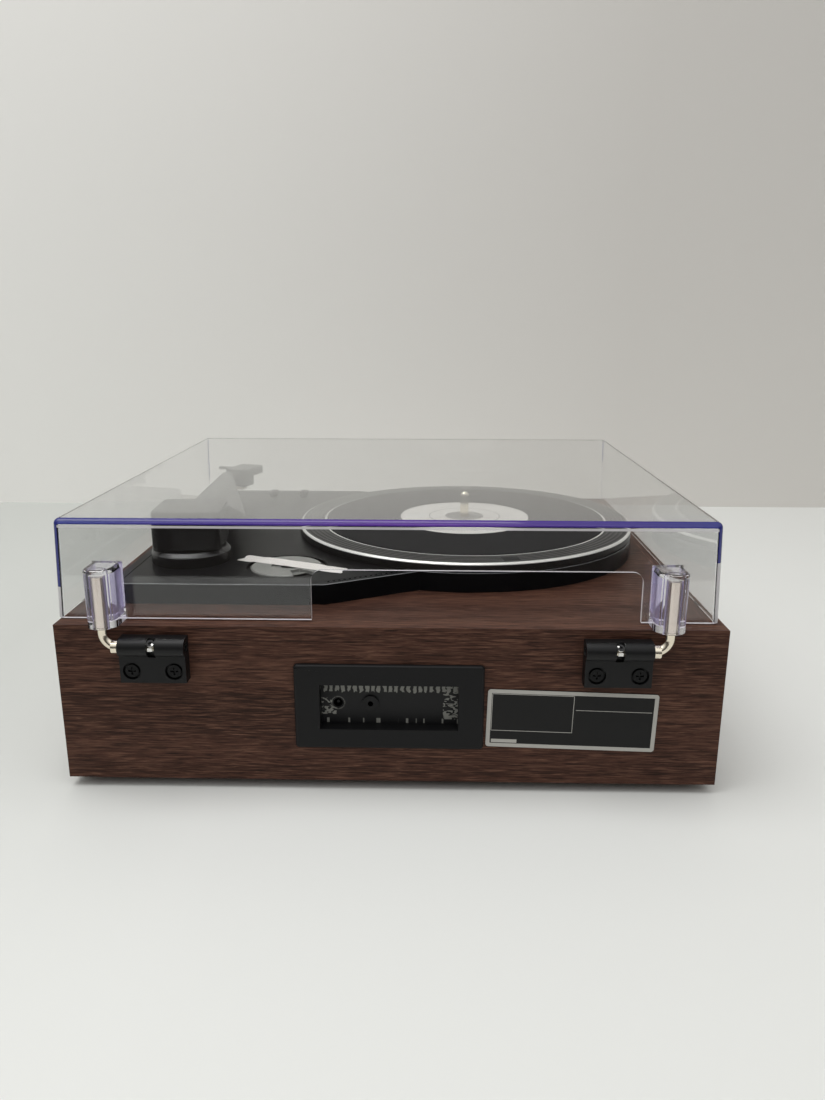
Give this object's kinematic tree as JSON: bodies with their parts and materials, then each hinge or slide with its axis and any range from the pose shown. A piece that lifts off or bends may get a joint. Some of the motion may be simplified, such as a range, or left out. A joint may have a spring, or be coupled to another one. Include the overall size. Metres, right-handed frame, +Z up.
{
  "type": "record player",
  "caption": "Record player with a wood-grain plinth, hinged clear lid, belt-driven platter, straight tonearm, front speakers and a recessed rear jack panel.",
  "frame": {"origin": "middle of the footprint, on the floor under the feet", "axes": "+X to the right seen from the front, +Y to the rear, +Z up"},
  "size_m": [0.4312, 0.4273, 0.1818],
  "materials": {
    "walnut": "satin",
    "black_satin": "satin",
    "black_gloss": "gloss",
    "clear": "clear",
    "nickel": "polished",
    "steel": "satin",
    "brass": "satin",
    "rubber": "matte",
    "cloth": "woven",
    "cone": "matte",
    "board": "satin",
    "adapter": "gloss",
    "amber": "gloss",
    "stylus": "gloss"
  },
  "bodies": {
    "cabinet": {"top_board": "walnut", "rear_panel": "walnut", "left_side": "walnut", "right_side": "walnut", "front_baffle": "walnut", "bottom_board": "walnut", "feet": "rubber", "foot_screws": "steel", "grille_left": "cloth", "grille_right": "cloth", "speaker_baskets": "black_satin", "speaker_cones": "cone", "speaker_screws": "steel", "control_plate": "black_satin", "control_pots": "black_satin", "power_lamp": "amber", "main_board": "board", "board_standoffs": "board", "jack_bezel": "black_satin", "jack_plate": "black_satin", "dc_jack": "black_gloss", "audio_jack": "nickel", "rating_plate": "black_satin", "hinge_left": "black_satin", "hinge_right": "black_satin", "hinge_screws": "black_satin", "friction_screws": "nickel", "deck_plate": "black_gloss", "plate_screws": "steel", "spindle_bush": "brass", "motor": "steel", "motor_screws": "steel", "drive_belt": "rubber", "arm_base": "black_gloss", "arm_rest": "black_gloss", "lever_bracket": "black_gloss", "switch_housings": "black_satin"},
    "lid": {"dust_cover": "clear", "hinge_rod_left": "nickel", "hinge_rod_right": "nickel", "lid_bumpers": "clear"},
    "platter": {"platter": "black_gloss", "slipmat": "rubber", "spindle": "nickel"},
    "pulley": {"motor_pulley": "brass"},
    "arm_swing": {"arm_yoke": "steel", "arm_cover": "black_gloss"},
    "arm_lift": {"arm_beam": "black_gloss", "counterweight": "steel", "headshell": "black_gloss", "cartridge": "black_gloss", "stylus": "stylus"},
    "cue_lever": {"cue_lever": "black_gloss"},
    "cue_lift": {"cue_lift": "black_gloss"},
    "adapter": {"adapter": "adapter"},
    "speed_switch": {"speed_switch": "black_gloss"},
    "stop_switch": {"stop_switch": "black_gloss"},
    "volume_knob": {"volume_knob": "black_gloss"},
    "function_knob": {"function_knob": "black_gloss"}
  },
  "joints": [
    {"name": "lid_hinge", "type": "hinge", "parent": "cabinet", "child": "lid", "pos_m": [0, 0.20755, 0.103], "axis": [-1, 0, 0], "range_deg": [0, 70]},
    {"name": "platter_spin", "type": "hinge", "parent": "cabinet", "child": "platter", "pos_m": [-0.055, -0.01265, 0.1355], "axis": [0, 0, 1], "continuous": true},
    {"name": "pulley_spin", "type": "hinge", "parent": "cabinet", "child": "pulley", "pos_m": [-0.12712, 0.05948, 0.1235], "axis": [0, 0, 1], "continuous": true},
    {"name": "arm_swing", "type": "hinge", "parent": "cabinet", "child": "arm_swing", "pos_m": [0.153, 0.09435, 0.141], "axis": [0, 0, -1], "range_deg": [0, 52]},
    {"name": "arm_lift", "type": "hinge", "parent": "arm_swing", "child": "arm_lift", "pos_m": [0.153, 0.09435, 0.15425], "axis": [-0.9971, -0.0767, 0], "range_deg": [0, 4]},
    {"name": "cue_lever", "type": "hinge", "parent": "cabinet", "child": "cue_lever", "pos_m": [0.177, 0.04435, 0.1375], "axis": [-1, 0, 0], "range_deg": [0, 55]},
    {"name": "cue_lift", "type": "slide", "parent": "cabinet", "child": "cue_lift", "axis": [0, 0, 1], "range_m": [-0.005, 0]},
    {"name": "adapter_lift", "type": "slide", "parent": "cabinet", "child": "adapter", "axis": [0, 0, 1], "range_m": [0, 0.04]},
    {"name": "speed_switch", "type": "slide", "parent": "cabinet", "child": "speed_switch", "axis": [0, 1, 0], "range_m": [0, 0.006]},
    {"name": "stop_switch", "type": "slide", "parent": "cabinet", "child": "stop_switch", "axis": [0, 1, 0], "range_m": [0, 0.006]},
    {"name": "volume_knob", "type": "hinge", "parent": "cabinet", "child": "volume_knob", "pos_m": [0.03, -0.19965, 0.061], "axis": [0, -1, 0], "range_deg": [-140, 140]},
    {"name": "function_knob", "type": "hinge", "parent": "cabinet", "child": "function_knob", "pos_m": [-0.03, -0.19965, 0.061], "axis": [0, -1, 0], "range_deg": [-60, 60]}
  ],
  "couplings": [
    {"joint": "pulley_spin", "follows": "platter_spin", "ratio": 14.667},
    {"joint": "cue_lift", "follows": "cue_lever", "m_per_rad": -0.0052}
  ]
}
